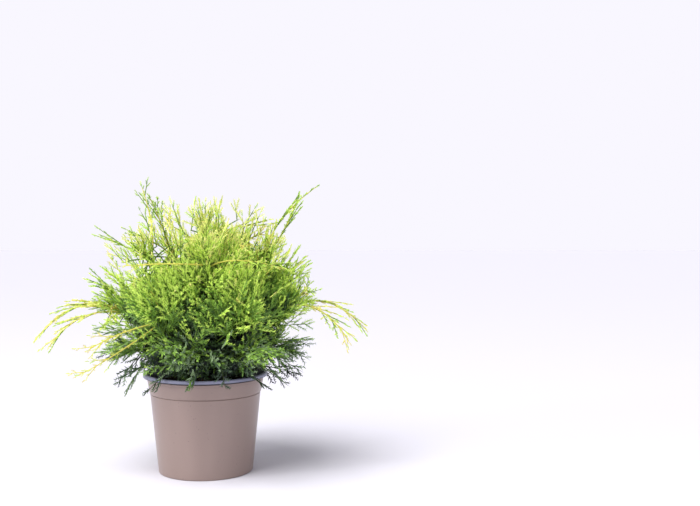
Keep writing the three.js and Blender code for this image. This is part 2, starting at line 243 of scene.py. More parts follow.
def crown_masses():
    masses = []
    for name, count, rise, first, fork, fill, lift in TIERS:
        for i in range(count):
            number = len(masses) + 1
            random = random_from(number)
            mass = {"number": number, "tier": name, "rise": rise, "fill": fill, "lift": lift, "shoots": []}
            mass["name"] = f"{name}_{i + 1}" if count > 1 else name
            mass["azimuth"] = first + 360 * i / count + AZIMUTH_STRAY * (random() - 0.5)
            own_rise = rise + (RISE_STRAY * (random() - 0.5) if count > 1 else 0)
            mass["direction"] = along(mass["azimuth"], own_rise)
            mass["fork"] = fork + (FORK_STEP if i % 2 else -FORK_STEP) if count > 1 else 1.0
            mass["bough_reach"] = BOUGH_SHARE * distance_to(DENSE, mass["direction"])
            masses.append(mass)
    directions = np.array([m["direction"] for m in masses])
    for i, mass in enumerate(masses):
        others = np.delete(directions, i, axis=0)
        mass["walls"] = unit(mass["direction"] - others)
    return masses


def bough_curve(mass):
    direction, reach = mass["direction"], mass["bough_reach"]
    tip = HEART + direction * reach
    foot = trunk_points(mass["fork"])
    out = UP if mass["fork"] == 1 else along(mass["azimuth"], lerp(LEAST_RISE, mass["rise"], 0.45))
    return [foot, foot + out * 0.4 * reach, tip - direction * 0.3 * reach, tip]


def stem_curve(mass):
    foot = HEART + mass["direction"] * (mass["bough_reach"] + GAP)
    tip = HEART + mass["direction"] * STEM_SHARE * distance_to(DENSE, mass["direction"])
    return [foot, lerp(foot, tip, 0.3), lerp(foot, tip, 0.7) + UP * 2, tip]


def twig_curves(mass, random, count, spread_share=1.0, depths=(0.86, 1.02)):
    stem = stem_curve(mass)
    direction = mass["direction"]
    first_turn = 360 * random()
    twigs = []
    for i in range(count):
        share = 1 - (i + 0.5) / count
        foot = bezier(stem, 0.1 + 0.85 * share)
        axis = unit(np.cross(direction, aside(direction, first_turn + GOLDEN_ANGLE * i)))
        depth = lerp(*depths, random())
        spread = TWIG_SPREAD * spread_share * sqrt(1 - share)
        for _ in range(TWIG_TRIES):
            to_tip = turned(direction, axis, spread)
            tip = HEART + to_tip * depth * mass["fill"] * distance_to(DENSE, to_tip)
            if in_own_space(tip[None], mass, TWIG_MARGIN)[0]:
                middle = lerp(foot, tip, 0.5) + direction * 0.1 * np.linalg.norm(tip - foot)
                twigs.append([foot, middle, tip])
                break
            spread *= 0.9
    return twigs


def tip_spray(twig, mass, random):
    """Root, direction, side and length of the spray that the model has at the end of a twig."""
    root = bezier(twig, SPRAY_FOOT)
    outward = unit(root - HEART)
    stray, side = (np.array([random() - 0.5 for _ in range(3)]) for _ in range(2))
    length = (0.65 + 0.4 * random()) * (distance_to(TIPS, outward) - np.linalg.norm(root - HEART))
    for share in SPRAY_SHARES:
        direction = unit(outward + UP * mass["lift"] * share + stray * 2 * SPRAY_STRAY * share)
        reach = length * sqrt(share)
        path = root + direction * np.linspace(0, reach, 5)[:, None]
        if in_reach(path, mouth=False).all() and in_own_space(path, mass, SPRAY_MARGIN).all():
            return root, direction, side, reach
    return None


# Meshes


def ring_faces(rings, sides):
    """Triangles between rings of points that follow one another."""
    faces = []
    for i in range(rings - 1):
        for j in range(sides):
            a, b = i * sides + j, i * sides + (j + 1) % sides
            faces += [[a, b, b + sides], [a, b + sides, a + sides]]
    return faces


def tubes(points, radii, sides):
    """Tubes of the same number of rings, each ending in a point: points is (n, rings + 1, 3)."""
    count, rings = points.shape[0], points.shape[1] - 1
    tangent = unit(np.gradient(points, axis=1) + TINY)
    overall = unit(points[:, -1] - points[:, 0] + TINY)
    helper = np.where(np.abs(overall[:, 2:3]) > 0.8, [[1.0, 0.0, 0.0]], [[0.0, 0.0, 1.0]])
    normal = unit(np.cross(tangent, helper[:, None]))[:, :rings, None]
    binormal = np.cross(tangent[:, :rings, None], normal)
    turn = circle(sides)[:, None]
    spokes = normal * np.cos(turn) + binormal * np.sin(turn)
    ring_points = points[:, :rings, None] + spokes * radii[:, :rings, None, None]
    verts = np.concatenate([ring_points.reshape(count, -1, 3), points[:, -1:]], axis=1)
    last, tip = (rings - 1) * sides, rings * sides
    faces = ring_faces(rings, sides) + [[last + j, last + (j + 1) % sides, tip] for j in range(sides)]
    all_faces = np.array(faces)[None] + (np.arange(count) * (tip + 1))[:, None, None]
    return verts.reshape(-1, 3), all_faces.reshape(-1, 3)


def placed(name, data):
    """A new object in the scene."""
    made = bpy.data.objects.new(name, data)
    bpy.context.scene.collection.objects.link(made)
    return made


def mesh_object(name, verts, faces, materials, kinds, smooth=False):
    mesh = bpy.data.meshes.new(name)
    mesh.vertices.add(len(verts))
    mesh.vertices.foreach_set("co", (np.asarray(verts) * MM).astype(np.float32).ravel())
    corners = np.asarray(faces, np.int32)
    starts = np.arange(0, corners.size, corners.shape[1], dtype=np.int32)
    mesh.loops.add(corners.size)
    mesh.loops.foreach_set("vertex_index", corners.ravel())
    mesh.polygons.add(len(corners))
    mesh.polygons.foreach_set("loop_start", starts)
    mesh.polygons.foreach_set("material_index", np.asarray(kinds, np.int32))
    mesh.polygons.foreach_set("use_smooth", np.full(len(corners), smooth))
    mesh.update(calc_edges=True)
    for material in materials:
        mesh.materials.append(material)
    return placed(name, mesh)


class Pile:
    """Gathers vertices, faces and material numbers for one piece."""

    def __init__(self):
        self.verts, self.faces, self.kinds, self.count = [], [], [], 0

    def add(self, verts, faces, kinds):
        self.verts.append(verts)
        self.faces.append(faces + self.count)
        self.kinds.append(np.broadcast_to(kinds, len(faces)))
        self.count += len(verts)

    def build(self, name, materials, smooth=False):
        verts, faces, kinds = (np.concatenate(x) for x in (self.verts, self.faces, self.kinds))
        return mesh_object(name, verts, faces, materials, kinds, smooth)


# Materials


def linear(r, g, b):
    """Linear colour of screen values from 0 to 255."""
    values = [c / 255 for c in (r, g, b)]
    return [c / 12.92 if c <= 0.04045 else ((c + 0.055) / 1.055) ** 2.4 for c in values] + [1.0]


MIX_COLOURS = (6, 7)  # numbers of the mix node's two colour inputs
MIX_RESULT = 2


class Tree:
    """The nodes of a material or a world while they are put together."""

    def __init__(self, owner):
        owner.use_nodes = True
        self.owner = owner
        self.nodes = owner.node_tree.nodes
        self.links = owner.node_tree.links

    def put(self, socket, value):
        """Joins a node's output to a socket, or sets the socket to a plain value."""
        if isinstance(value, bpy.types.NodeSocket):
            self.links.new(value, socket)
        else:
            socket.default_value = value

    def add(self, kind, **inputs):
        made = self.nodes.new(f"ShaderNode{kind}")
        for name, value in inputs.items():
            self.put(made.inputs[name], value)
        return made

    def noise(self, scale, detail, roughness=0.5, stretch=(1, 1, 1)):
        """Noise over the object itself, its scale in waves to a metre."""
        place = self.add("TexCoord").outputs["Object"]
        place = self.add("Mapping", Vector=place, Scale=stretch).outputs["Vector"]
        made = self.add("TexNoise", Vector=place, Scale=scale, Detail=detail, Roughness=roughness)
        return made.outputs["Fac"]

    def ramp(self, factor, *stops):
        """Two colours that blend between their places."""
        made = self.add("ValToRGB", Fac=factor)
        for element, (position, colour) in zip(made.color_ramp.elements, stops):
            element.position = position
            element.color = linear(*colour)
        return made.outputs["Color"]

    def ranged(self, value, low, high, to_low, to_high):
        made = self.add("MapRange", Value=value)
        for k, limit in enumerate((low, high, to_low, to_high)):
            made.inputs[k + 1].default_value = limit
        return made.outputs["Result"]

    def blend(self, factor, *colours):
        mix = self.add("Mix")
        mix.data_type = "RGBA"
        self.put(mix.inputs["Factor"], factor)
        for socket, colour in zip(MIX_COLOURS, colours):
            self.put(mix.inputs[socket], colour)
        return mix.outputs[MIX_RESULT]

    def bump(self, height, strength, distance):
        return self.add("Bump", Height=height, Strength=strength, Distance=distance).outputs["Normal"]

    def material(self, colour, roughness, specular, normal=None):
        """The material, with its shader's inputs joined or set."""
        shader = self.nodes["Principled BSDF"].inputs
        self.put(shader["Base Color"], colour)
        self.put(shader["Roughness"], roughness)
        self.put(shader["Specular IOR Level"], specular)
        if normal:
            self.put(shader["Normal"], normal)
        return self.owner


def new_tree(name):
    return Tree(bpy.data.materials.new(name))


def plain_material(name, colour, roughness, specular):
    return new_tree(name).material(linear(*colour), roughness, specular)


def grainy_material(name, grain, low, high, roughness, specular, strength, distance):
    """One noise gives both the colour, between two stops, and the relief."""
    tree = new_tree(name)
    height = tree.noise(*grain)
    relief = tree.bump(height, strength, distance)
    return tree.material(tree.ramp(height, low, high), roughness, specular, relief)


# From the darkest, painted shade inside and low down, to the brightest shoots, and then the bluish ones
LEAF_COLOURS = {
    "shade": (29, 43, 27),
    "dark": (50, 72, 38),
    "deep": (70, 103, 45),
    "green": (105, 142, 60),
    "fresh": (145, 187, 73),
    "lime": (203, 230, 100),
    "pale": (237, 235, 142),
    "gold": (228, 214, 116),
    "blue_shade": (36, 46, 42),
    "blue_dark": (55, 75, 55),
    "blue": (83, 106, 76),
    "blue_green": (129, 152, 110),
}
LEAVES = [plain_material(f"leaf_{name}", colour, 0.5, 0.35) for name, colour in LEAF_COLOURS.items()]
BRIGHT = 7
GOLDEN_TONE = 5.6
# Leaders of plumes darker than INNER_TONE, the painted shade inside, get the dark twig colour
INNER_TONE = 2.2
BLUE_LEAVES = 8
BROWN, GREEN, GOLD, DARK = range(4)
TWIG_COLOURS = {
    "brown": (82, 52, 38),
    "green": (100, 130, 46),
    "gold": (196, 190, 84),
    "dark": (56, 70, 34),
}
TWIGS = [plain_material(f"twig_{name}", colour, 0.7, 0.25) for name, colour in TWIG_COLOURS.items()]


# Sprigs and plumes

# How far the dense foliage reaches at a rise, as a share of the ball: it spreads at the flanks
SPREAD_RISES = (-12, 4, 15, 28, 42, 55, 67, 90)
SPREAD_SHARES = (0.8, 0.92, 0.95, 1.06, 1.02, 0.95, 0.91, 0.9)
# Azimuth, rise, height and depth of the places on the left where the sky shows
NOTCHES = [(188, 57, 14, 0.42), (190, 6, 13, 0.26)]


def shape_limit(directions):
    """Distance from the heart to the edge of the dense foliage, with its uneven bulges."""
    directions = np.atleast_2d(directions)
    rise = np.degrees(np.arcsin(np.clip(directions[:, 2], -1, 1)))
    azimuth = np.arctan2(directions[:, 1], directions[:, 0])
    share = np.interp(rise, SPREAD_RISES, SPREAD_SHARES)
    share += 0.035 * np.sin(3 * azimuth + 1.1 + rise / 22) + 0.03 * np.sin(7 * azimuth - rise / 12)
    for middle, level, tall, depth in NOTCHES:
        beside = np.maximum(0, np.cos(azimuth - radians(middle)))
        share -= depth * np.exp(-(((rise - level) / tall) ** 2)) * beside**3
    return share * distance_to(DENSE, directions)


def share_of_reach(points):
    """How far out in the dense foliage points are, from 0 at the heart to 1 at its edge."""
    outward = points - HEART
    far = np.linalg.norm(outward, axis=1)
    return far / shape_limit(outward / far[:, None])


SPRIG_LENGTH = 26.0
SPRIG_KINDS = 10  # of the slim ones, and as many broad ones
TIP_CONTRAST = 2.2
CORD_TONE = 0.4
SPUR_TONE = 0.7
# Radius of the cord, then fewest and most spurs, their reach, angle and radius
SLIM = (0.85, 8, 10, (4.8, 8.5), (26, 42), 0.95)
BROAD = (1.0, 7, 8, (6.5, 10), (36, 50), 1.3)
BROAD_TONE = 3.2  # the brighter ones stay slim
BROAD_HEIGHTS = (180, 235)  # most are broad at the first height and none at the second
BROAD_SHARE = 0.9


def sprig_template(seed, look):
    """One cord-like branchlet along +X with small spurs on both sides.

    Gives vertices, faces and for each face how near the tip it is, from 0 to 1.
    """
    cord, fewest, most, reaches, angles, spur_radius = look
    rng = np.random.default_rng(seed)
    t = np.linspace(0, 1, 4)
    wave = rng.uniform(-1, 1) * 1.6 * t**2 + 0.5 * np.sin(5 * t + rng.uniform(0, 6)) * t
    axis = np.stack([t * SPRIG_LENGTH, wave, rng.uniform(-1, 1) * 1.2 * t**2], 1)
    strands = [(axis, cord * np.array([1, 1, 0.9, 0]), CORD_TONE)]
    spurs = int(rng.integers(fewest, most + 1))
    for i in range(spurs):
        share = 0.12 + 0.76 * (i + rng.uniform(-0.2, 0.2)) / (spurs - 1)
        way = 1 if i % 2 else -1
        reach = rng.uniform(*reaches) * lerp(1.15, 0.65, share)
        angle = radians(rng.uniform(*angles))
        out = np.array([cos(angle), way * sin(angle), rng.uniform(-0.35, 0.35)])
        foot = np.array([np.interp(share, t, axis[:, k]) for k in range(3)])
        spur = foot + out * np.array([[0.0], [reach]])
        strands.append((spur, np.array([spur_radius, 0]), SPUR_TONE + 0.3 * share))
    verts, faces, near_tip, base = [], [], [], 0
    for points, radii, tone in strands:
        v, f = tubes(points[None], radii[None], 3)
        verts.append(v)
        faces.append(f + base)
        near_tip.append(np.full(len(f), tone))
        base += len(v)
    return np.concatenate(verts), np.concatenate(faces), np.concatenate(near_tip)


SPRIGS = [sprig_template(10 + i, SLIM if i < SPRIG_KINDS else BROAD) for i in range(2 * SPRIG_KINDS)]


class Foliage:
    """Sprigs to be laid out, each a template that is turned, sized and coloured, and their stems."""

    def __init__(self, seed):
        self.rng = np.random.default_rng(seed)
        self.sprigs = []
        self.leaders = []

    def meshes(self):
        root, way, side, length, tone = (np.concatenate(column) for column in zip(*self.sprigs))
        kind = self.rng.integers(SPRIG_KINDS, size=len(root))
        shade = self.rng.random(len(root))
        broad = np.interp(root[:, 2], BROAD_HEIGHTS, (BROAD_SHARE, 0)) * (tone < BROAD_TONE)
        kind += SPRIG_KINDS * (self.rng.random(len(root)) < broad)
        pile = Pile()
        for k, (verts, faces, near_tip) in enumerate(SPRIGS):
            mine = kind == k
            x = unit(way[mine])
            y = unit(side[mine] - x * (side[mine] * x).sum(1, keepdims=True))
            z = np.cross(x, y)
            size = length[mine] / SPRIG_LENGTH
            thick = np.clip(size, 0.8, 1.1)
            local = verts[None] * np.stack([size, np.sqrt(size) * thick**0.5, thick], 1)[:, None]
            spot = root[mine][:, None] + (
                local[..., 0:1] * x[:, None] + local[..., 1:2] * y[:, None] + local[..., 2:3] * z[:, None]
            )
            number = tone[mine][:, None] + TIP_CONTRAST * (near_tip[None] - SPUR_TONE) + shade[mine][:, None]
            number = leaf_number(number, spot[:, 0, 2], shade[mine], tone[mine] < GOLDEN_TONE)
            all_faces = faces[None] + (np.arange(mine.sum()) * len(verts))[:, None, None]
            pile.add(spot.reshape(-1, 3), all_faces.reshape(-1, 3), number.reshape(-1))
        return pile


BLUISH_HEIGHTS = (165, 220)  # most are bluish at the first height and none at the second
BLUISH_SHARE = 0.8
BLUISH_COUNT = 4  # this many of the darkest colours have a bluish one beside them
PALE_HEIGHTS = (240, 340)  # from the first height up some are pale, apart from the shoots
PALE_NUMBERS = (5.0, 6.5)


def leaf_number(tone, height, shade, plain):
    """The material for a tone: the low ones are bluer, and only shoots are golden."""
    brightest = np.where(plain, np.interp(height, PALE_HEIGHTS, PALE_NUMBERS), BRIGHT)
    number = np.floor(np.clip(tone, 0, brightest[:, None])).astype(int)
    bluish = (shade * 7 % 1 < np.interp(height, BLUISH_HEIGHTS, (BLUISH_SHARE, 0)))[:, None]
    return np.where(bluish & (number < BLUISH_COUNT), number + BLUE_LEAVES, number)


# Tone by height: darker low down, which is painted shade, and lighter at the top, partly painted light from
# above and partly the lighter young growth
TONE_HEIGHTS = (130, 165, 200, 232, 264, 288)
TONES = (-0.4, 1.35, 2.8, 2.55, 4.55, 5.4)
BRIGHTEST_HEIGHTS = (145, 185, 225, 290)
BRIGHTEST_TONES = (2.9, 3.8, 4.85, 5.45)  # of all but the shoots
TONE_STRAY = 0.85
SURFACE = 0.88  # this far out the tone is the one for the height
DEEPEST = 0.3
EDGE = 1.03
# Leaves deeper in than SURFACE darken by INWARD_SLOPE: painted shade inside the crown
INWARD_SLOPE = 14.0
OUTWARD_SLOPE = 9.0
OUTER_SLOPE = 5
OUTER_DEPTH = 0.35
OUTER_HEIGHTS = (180, 225)  # between these the long outer sprays turn from dull to bright


def tone_of(points, rng):
    """How bright the leaves are: most at the top and on the surface. The darkening low down and inside is
    painted shade; the lighter top is partly painted light, partly young growth.
    """
    height = points[:, 2]
    share = share_of_reach(points)
    surface = np.clip(share, DEEPEST, EDGE) - SURFACE
    slope = np.where(surface > 0, OUTWARD_SLOPE, INWARD_SLOPE)
    tone = np.interp(height, TONE_HEIGHTS, TONES) + slope * surface
    tone += OUTER_SLOPE * np.clip(share - EDGE, 0, OUTER_DEPTH) * np.interp(height, OUTER_HEIGHTS, (0, 1))
    brightest = np.interp(height, BRIGHTEST_HEIGHTS, BRIGHTEST_TONES)
    return np.minimum(tone + rng.normal(0, TONE_STRAY), brightest)


SPRIG_ANGLES = (38, 20)  # at the foot of the leader and at its tip
LEADER_POINTS = 6


def plume(foliage, curve, side, tone, reach=(30, 7), spacing=6.3, first=0.1, shoot=False, drooping=False):
    """A leader with sprigs on both sides of it, all of them nearly in one plane."""
    rng = foliage.rng
    length = np.linalg.norm(curve[-1] - curve[0])
    count = max(4, int(round(length * (1 - first) / spacing)))
    share = first + (1 - first) * (np.arange(count) + rng.uniform(-0.3, 0.3, count)) / (count - 1)
    share = np.clip(share, 0.02, 0.985)
    root = bezier(curve, share)
    tangent = unit(bezier(curve, share + 0.01) - bezier(curve, share - 0.01))
    across = unit(side - tangent * (tangent @ side)[:, None])
    normal = np.cross(tangent, across)
    hand = np.where(np.arange(count) % 2, 1.0, -1.0)
    angle = np.radians(lerp(*SPRIG_ANGLES, share) + rng.normal(0, 5, count))
    angle[-1] = 0
    tilt = rng.normal(0, 0.22, count)
    spoke = across * (hand * np.cos(tilt))[:, None] + normal * np.sin(tilt)[:, None]
    way = tangent * np.cos(angle)[:, None] + spoke * np.sin(angle)[:, None]
    size = lerp(*reach, share) * rng.uniform(0.7, 1.2, count)
    size *= np.minimum(1, 0.6 + 2 * (share - first))
    end = root + way * size[:, None]
    fits = in_reach(end, SHELL if shoot else TIPS) | (shoot & (end[:, 2] > LOWEST))
    fits &= in_crown_below(end) | shoot | drooping
    if fits.mean() < 0.5:
        return
    shade = tone_of(end, rng) if tone is None else np.full(count, tone)
    shade = shade + rng.normal(0, 0.25, count)
    twist = unit(across + normal * rng.normal(0, 0.35, count)[:, None])
    foliage.sprigs.append([x[fits] for x in (root, way, twist, size, shade)])
    foliage.leaders.append((bezier(curve, np.linspace(0, 1, LEADER_POINTS)), float(np.mean(shade))))


# Growth

# Points along each kind of limb
LIMB_POINTS = {"stem": 9, "twig": 7, "shoot": 17, "leader": LEADER_POINTS}
limbs = {kind: [] for kind in ("stem", "twig", "shoot", "inner", "leader", "golden")}


def add_limb(kind, curve):
    limbs[kind].append(bezier(curve, np.linspace(0, 1, LIMB_POINTS[kind])))


def arched(root, way, length, lift):
    """A curve that leaves its root along one way and then rises or nods."""
    end = root + way * length + UP * lift * length
    return [root, root + way * 0.55 * length, end]


SPACING = by_tier(6.3, 5.6, 5.0, 5.0)
RISING = by_tier(0.3, 1.15, 0.95, 0.4)
UNEVEN = by_tier(0.45, 0.12, 0.12, 0.12)
LEANING_OUT = by_tier(0.35, 0.2, 0.15, 0.2)
SEAM = by_tier(-4, -11, -13, -11)  # how far a plume may pass the wall of its space
FULL_SPRIGS = (30, 7)
SLIM_SPRIGS = (19, 6)
# The masses at the left that let the sky through, with the share of their twigs that are loose
LOOSER = {
    "flank_4": 0.35,
    "shoulder_2": 0.3,
    "shoulder_3": 0.35,
    "shoulder_5": 0.35,
    "skirt_4": 0.15,
    "skirt_5": 0.15,
}
OPEN_LEAN = 0.3  # so much further outwards their plumes lean
PLUME_TRIES = 6


def frond(foliage, mass, curve, shares, limit, lengths, open_angle, drooping=False, slim=False):
    """Plumes at the end of a twig and on both sides of it."""
    rng = foliage.rng
    tier = mass["tier"]
    looser = mass["name"] in LOOSER
    level = unit(np.cross(unit(curve[-1] - HEART), UP) + 0.001)
    tangent = unit(bezier(curve, 1.0) - bezier(curve, 0.9))
    side = turned(level, tangent, rng.normal(0, 40))
    seam = SEAM[tier] * (0.5 if looser else 1)
    leaning = LEANING_OUT[tier] + OPEN_LEAN * looser
    for k, share in enumerate(shares):
        root = bezier(curve, share)
        heading = unit(bezier(curve, min(1, share + 0.05)) - bezier(curve, share - 0.05))
        hand = (1 if k % 2 else -1) if k else 0
        angle = radians(rng.uniform(0.75, 1.25) * open_angle)
        lean = heading * cos(angle) + side * hand * sin(angle)
        rise = RISING[tier] + rng.normal(0, UNEVEN[tier])
        way = unit(lean + unit(root - HEART) * leaning + UP * rise)
        length = rng.uniform(*lengths)
        nod = rng.uniform(-0.1, 0.12) + 0.15 * RISING[tier] - 0.2 * drooping
        for _ in range(PLUME_TRIES):
            path = arched(root, way, length, nod)
            tip = path[-1]
            fits = np.linalg.norm(tip - HEART) < limit * shape_limit(unit(tip - HEART))[0]
            fits = fits and in_reach(tip) and (drooping or in_crown_below(tip))
            if fits and in_own_space(tip[None], mass, seam)[0]:
                facing = turned(side, way, rng.normal(0, 25))
                reach = SLIM_SPRIGS if slim else FULL_SPRIGS
                plume(foliage, path, facing, None, reach, SPACING[tier], drooping=drooping)
                break
            length *= 0.82


# Share of its reach that a spray of the model's has here
OWN_REACH = by_tier(0.96, 0.96, 0.86, 0.76)
OWN_SHARES = (0.8, 0.62, 0.45, 0.3)
FINE_TWIGS = by_tier(29, 30, 36, 36)
FINE_SHARES = (1.0, 0.86, 0.72, 0.58, 0.44, 0.3)
LOOSE_SHARE = 0.3
LOOSE_LIMITS = by_tier((1.1, 1.36), (1.1, 1.36), (1.02, 1.26), (0.94, 1.12))
STEM_PLUMES = 12
STEM_SHARES = (1.0, 0.9, 0.75, 0.6, 0.45, 0.3)
STEM_END = by_tier(1.0, 1.0, 0.92, 0.8)
INNER_PLUMES = 13
INNER_SPRIGS = (34, 24)


def grow_mass(mass, foliage):
    """All the foliage of a mass: on its own twigs, on finer ones, on its stem and its bough."""
    random = random_from(100 + mass["number"])
    for _ in range(CORE_POINTS):
        random()
    stem = stem_curve(mass)
    add_limb("stem", stem)
    grow_own_twigs(mass, foliage, random)
    grow_fine_twigs(mass, foliage)
    grow_on_stem(mass, stem, foliage)
    grow_inside(mass, foliage)
    if mass["tier"] == "skirt":
        grow_low_foliage(mass, foliage)
    else:
        grow_runners(mass, stem, foliage)
    for shoot in mass["shoots"]:
        grow_shoot(shoot, stem, foliage)
    for runner in LONG_RUNNERS.get(mass["name"], []):
        grow_long_runner(runner, stem, foliage)


def grow_own_twigs(mass, foliage, random):
    """The twigs and sprays that the model has, and plumes beside them."""
    rng = foliage.rng
    for curve in twig_curves(mass, random, TWIG_COUNT):
        add_limb("twig", curve)
        found = tip_spray(curve, mass, random)
        if found:
            root, direction, side, reach = found
            path = arched(root, direction, reach * OWN_REACH[mass["tier"]], rng.uniform(-0.1, 0.02))
            plume(foliage, path, unit(side), None, (26, 11), 6, 0.1, drooping=True)
        limit = rng.uniform(0.94, 1.06) * (0.88 if mass["name"] in LOOSER else 1)
        frond(foliage, mass, curve, OWN_SHARES, limit, (50, 80), 27)


def grow_fine_twigs(mass, foliage):
    """Finer twigs between them, some of them long and loose."""
    rng = foliage.rng
    random = random_from(700 + mass["number"])
    for curve in twig_curves(mass, random, FINE_TWIGS[mass["tier"]], 1.12, (0.66, 0.86)):
        add_limb("twig", curve)
        if rng.random() < LOOSER.get(mass["name"], LOOSE_SHARE):
            limit = rng.uniform(*LOOSE_LIMITS[mass["tier"]])
            frond(foliage, mass, curve, FINE_SHARES[:2], limit, (75, 120), 15, slim=True)
        else:
            limit = rng.uniform(0.86, 1.03) * (0.9 if mass["name"] in LOOSER else 1)
            frond(foliage, mass, curve, FINE_SHARES, limit, (46, 78), 30)


def plume_if_clear(foliage, path, side, *look):
    if in_reach(path[-1]) and in_crown_below(path[-1]):
        plume(foliage, path, side, *look)


def grow_on_stem(mass, stem, foliage):
    rng = foliage.rng
    end = STEM_END[mass["tier"]]
    for k in range(STEM_PLUMES):
        root = bezier(stem, lerp(0.55, end, k / (STEM_PLUMES - 1)))
        aim = aside(mass["direction"], GOLDEN_ANGLE * k)
        way = unit(mass["direction"] + aim * rng.uniform(0.15, 0.45) + UP * 0.1)
        path = arched(root, way, rng.uniform(30, 46), rng.uniform(-0.1, 0.1))
        plume_if_clear(foliage, path, np.cross(way, aim), None)
    frond(foliage, mass, stem, STEM_SHARES, 1.2 * end, (40, 60), 50)


def grow_inside(mass, foliage):
    """Near-black plumes round the bough, painted shade for the inside, which close the crown."""
    rng = foliage.rng
    bough = bough_curve(mass)
    for k in range(INNER_PLUMES):
        aim = aside(mass["direction"], GOLDEN_ANGLE * k + 50)
        way = unit(mass["direction"] * rng.uniform(0.1, 0.5) + aim)
        path = arched(bezier(bough, lerp(0.45, 1.0, k / INNER_PLUMES)), way, rng.uniform(34, 52), 0)
        # Tone 0.2 gives the near-black and dark leaf colours: painted shade
        plume_if_clear(foliage, path, np.cross(way, mass["direction"]), 0.2, INNER_SPRIGS, 6)


LOW_TWIGS = 18
LOW_RADII = (42, 80)
LOW_SHARES = (1.0, 0.85, 0.7, 0.55, 0.4)
OVER_RIM = 68
LOW_TIPS = (140.0, 156.0)
MOUTH_TIPS = (131.0, 146.0)
DROOPING_SHARE = 0.25


def grow_low_foliage(mass, foliage):
    """Foliage that hangs from the lowest boughs over the soil and, here and there, the rim, dark with the
    painted shade low down.
    """
    rng = foliage.rng
    bough = bough_curve(mass)
    for k in range(LOW_TWIGS):
        root = bezier(bough, lerp(0.35, 1.0, (k + rng.uniform(0, 1)) / LOW_TWIGS))
        azimuth = radians(mass["azimuth"] + rng.normal(0, 22))
        radius = rng.uniform(*LOW_RADII)
        heights = LOW_TIPS if radius > OVER_RIM else MOUTH_TIPS
        tip = np.array([radius * cos(azimuth), radius * sin(azimuth), rng.uniform(*heights)])
        twig = [root, lerp(root, tip, 0.6) + UP * rng.uniform(8, 18), tip]
        add_limb("twig", twig)
        drooping = rng.random() < DROOPING_SHARE
        frond(foliage, mass, twig, LOW_SHARES, 1.0, (30, 54), 26, drooping)


# Shoots

RUNNERS = {"flank": 1, "shoulder": 1, "crest": 2}
NO_RUNNERS = {"flank_5", "flank_6"}
RUNNER_TONE = 5.8
STILL_GREEN = SHOOTS[5:6]  # the shoots that haven't turned golden
HANGING_BELOW = 25  # a shoot hangs if its tip has less rise than this
# The two shoots that run thin and nearly straight over the front in the photograph
THIN_SHOOTS = SHOOTS[2:4]
# Thin shoots with their tones: two that hang, one that stands at the left and one that lies on top
LONG_RUNNERS = {
    "flank_5": [((232, 13, 158), THIN_SHOOTS[0][1], 6.0), ((228, 0, 150), THIN_SHOOTS[1][1], 6.0)],
    "shoulder_3": [((198, 68, 172), (190, 69, 238), 4.3)],
    "shoulder_4": [((260, 39, 197), (206, 44, 164), 5.6)],
}


def branch_off(curve, share, side, degrees, k):
    """Where the side shoot with a number leaves a curve and which way, to one hand or the other."""
    heading = unit(bezier(curve, share + 0.02) - bezier(curve, share - 0.02))
    angle = radians(degrees) * (1 if k % 2 else -1)
    return bezier(curve, share), heading * cos(angle) + side * sin(angle)


def grow_runners(mass, stem, foliage):
    """Golden shoots that lie on the foliage and arch down over it."""
    rng = foliage.rng
    direction = mass["direction"]
    level = unit(np.cross(UP, direction) + [1e-6, 0, 0])
    for k in range(0 if mass["name"] in NO_RUNNERS else RUNNERS[mass["tier"]]):
        hand = 1 if (k + mass["number"]) % 2 else -1
        over = unit(direction + level * hand * rng.uniform(0, 0.3) + UP * rng.uniform(-0.3, 0.3))
        rising = rng.uniform(-0.25, 0.05) if mass["tier"] == "flank" else rng.uniform(-0.1, 0.6)
        end = unit(over + level * hand * rng.uniform(0.3, 0.6) + UP * rising)
        bends = [HEART + d * far * shape_limit(d)[0] for d, far in ((over, 1.12), (end, 1.16))]
        curve = [bezier(stem, 0.6), *bends]
        add_limb("shoot", curve)
        side = unit(np.cross(unit(curve[2] - curve[1]), direction))
        plume(foliage, curve, side, RUNNER_TONE, (16, 8), 6, 0.35, shoot=True)
        for j in range(3):
            root, way = branch_off(curve, lerp(0.5, 0.85, j / 2), side, rng.uniform(15, 25), j)
            way = unit(way + direction * 0.15)
            path = arched(root, way, rng.uniform(24, 44), rng.uniform(-0.05, 0.05))
            plume(foliage, path, side, rng.uniform(4.4, 5.5), (13, 7), 5.5, 0.2, shoot=True)


def grow_long_runner(runner, stem, foliage):
    """A thin golden shoot, nearly straight, with short branchlets that point forwards."""
    rng = foliage.rng
    over, tip = (from_heart(*p) for p in runner[:2])
    tone = runner[2]
    curve = [bezier(stem, 0.7), over, tip]
    add_limb("shoot", curve)
    side = unit(np.cross(unit(tip - over), [0.0, -1.0, 0.3]))
    plume(foliage, curve, side, tone, (13, 7), 6.5, 0.35, shoot=True)
    for k in range(4):
        share = lerp(0.45, 0.88, k / 3)
        root, way = branch_off(curve, share, side, rng.uniform(18, 28), k)
        path = arched(root, unit(way), lerp(36, 20, share) * rng.uniform(0.8, 1.2), rng.uniform(-0.05, 0.05))
        plume(foliage, path, side, tone + rng.uniform(-0.7, 0.3), (10, 6), 6, 0.2, shoot=True)


